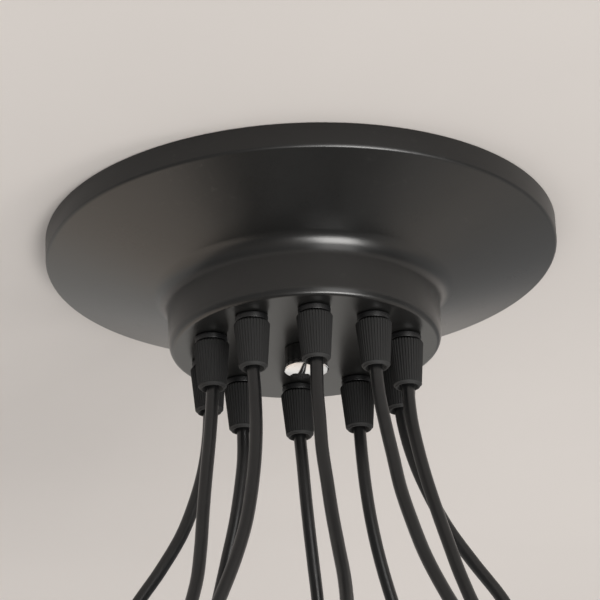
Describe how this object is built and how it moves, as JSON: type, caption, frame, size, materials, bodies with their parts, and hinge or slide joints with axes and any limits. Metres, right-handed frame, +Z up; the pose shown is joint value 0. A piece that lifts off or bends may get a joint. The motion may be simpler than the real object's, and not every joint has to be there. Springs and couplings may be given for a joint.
{
  "type": "ceiling chandelier",
  "caption": "Ceiling light with a black dished canopy, a ring of fluted cord grips under its deep cup, and round cords that splay out, wound into coils above open lamp holders.",
  "frame": {"origin": "middle of the canopy's rim, in the plane of the ceiling", "axes": "+Z up, out of the canopy's open back into the ceiling; +X along the ceiling strap"},
  "size_m": [0.2873, 0.2885, 0.4223],
  "materials": {
    "canopy_paint": "satin",
    "collar_paint": "satin",
    "zinc_plate": "satin",
    "chrome": "polished",
    "grip_nylon": "matte",
    "cord_sheath": "satin",
    "holder_resin": "satin",
    "terminal_nylon": "matte",
    "thread_shell": "bright",
    "holder_porcelain": "gloss",
    "core_brown": "satin",
    "core_blue": "satin",
    "core_green": "satin",
    "cord_tie": "matte"
  },
  "bodies": {
    "root": {"canopy": "canopy_paint", "ceiling_strap": "zinc_plate", "threaded_rod": "zinc_plate", "rod_upper_nut": "zinc_plate", "rod_lower_nut": "zinc_plate", "centre_collar": "collar_paint", "terminal_block": "terminal_nylon", "grip_base_1": "grip_nylon", "grip_base_2": "grip_nylon", "grip_base_3": "grip_nylon", "grip_base_4": "grip_nylon", "grip_base_5": "grip_nylon", "grip_base_6": "grip_nylon", "grip_base_7": "grip_nylon", "grip_base_8": "grip_nylon", "grip_base_9": "grip_nylon", "grip_base_10": "grip_nylon", "cord_1": "cord_sheath", "cord_2": "cord_sheath", "cord_3": "cord_sheath", "cord_4": "cord_sheath", "cord_5": "cord_sheath", "cord_6": "cord_sheath", "cord_7": "cord_sheath", "cord_8": "cord_sheath", "cord_9": "cord_sheath", "cord_10": "cord_sheath", "cord_coil_1": "cord_sheath", "cord_coil_2": "cord_sheath", "cord_coil_3": "cord_sheath", "cord_coil_4": "cord_sheath", "cord_coil_5": "cord_sheath", "cord_coil_6": "cord_sheath", "cord_coil_7": "cord_sheath", "cord_coil_8": "cord_sheath", "cord_coil_9": "cord_sheath", "cord_coil_10": "cord_sheath", "lamp_holder_1": "holder_resin", "lamp_holder_2": "holder_resin", "lamp_holder_3": "holder_resin", "lamp_holder_4": "holder_resin", "lamp_holder_5": "holder_resin", "lamp_holder_6": "holder_resin", "lamp_holder_7": "holder_resin", "lamp_holder_8": "holder_resin", "lamp_holder_9": "holder_resin", "lamp_holder_10": "holder_resin"},
    "cap_nut": {"centre_cap_nut": "chrome"},
    "grip_cap_1": {"grip_cap_1": "grip_nylon"},
    "grip_cap_2": {"grip_cap_2": "grip_nylon"},
    "grip_cap_3": {"grip_cap_3": "grip_nylon"},
    "grip_cap_4": {"grip_cap_4": "grip_nylon"},
    "grip_cap_5": {"grip_cap_5": "grip_nylon"},
    "grip_cap_6": {"grip_cap_6": "grip_nylon"},
    "grip_cap_7": {"grip_cap_7": "grip_nylon"},
    "grip_cap_8": {"grip_cap_8": "grip_nylon"},
    "grip_cap_9": {"grip_cap_9": "grip_nylon"},
    "grip_cap_10": {"grip_cap_10": "grip_nylon"}
  },
  "joints": [
    {"name": "cap_nut_turn", "type": "hinge", "parent": "root", "child": "cap_nut", "pos_m": [0, 0, -0.0702], "axis": [0, 0, -1], "range_deg": [0, 900]},
    {"name": "grip_cap_1_turn", "type": "hinge", "parent": "root", "child": "grip_cap_1", "pos_m": [0.0449, 0.01962, -0.0732], "axis": [0, 0, -1], "range_deg": [0, 540]},
    {"name": "grip_cap_2_turn", "type": "hinge", "parent": "root", "child": "grip_cap_2", "pos_m": [0.0248, 0.04226, -0.0732], "axis": [0, 0, -1], "range_deg": [0, 540]},
    {"name": "grip_cap_3_turn", "type": "hinge", "parent": "root", "child": "grip_cap_3", "pos_m": [-0.00478, 0.04877, -0.0732], "axis": [0, 0, -1], "range_deg": [0, 540]},
    {"name": "grip_cap_4_turn", "type": "hinge", "parent": "root", "child": "grip_cap_4", "pos_m": [-0.03253, 0.03664, -0.0732], "axis": [0, 0, -1], "range_deg": [0, 540]},
    {"name": "grip_cap_5_turn", "type": "hinge", "parent": "root", "child": "grip_cap_5", "pos_m": [-0.04786, 0.01052, -0.0732], "axis": [0, 0, -1], "range_deg": [0, 540]},
    {"name": "grip_cap_6_turn", "type": "hinge", "parent": "root", "child": "grip_cap_6", "pos_m": [-0.0449, -0.01962, -0.0732], "axis": [0, 0, -1], "range_deg": [0, 540]},
    {"name": "grip_cap_7_turn", "type": "hinge", "parent": "root", "child": "grip_cap_7", "pos_m": [-0.0248, -0.04226, -0.0732], "axis": [0, 0, -1], "range_deg": [0, 540]},
    {"name": "grip_cap_8_turn", "type": "hinge", "parent": "root", "child": "grip_cap_8", "pos_m": [0.00478, -0.04877, -0.0732], "axis": [0, 0, -1], "range_deg": [0, 540]},
    {"name": "grip_cap_9_turn", "type": "hinge", "parent": "root", "child": "grip_cap_9", "pos_m": [0.03253, -0.03664, -0.0732], "axis": [0, 0, -1], "range_deg": [0, 540]},
    {"name": "grip_cap_10_turn", "type": "hinge", "parent": "root", "child": "grip_cap_10", "pos_m": [0.04786, -0.01052, -0.0732], "axis": [0, 0, -1], "range_deg": [0, 540]}
  ]
}
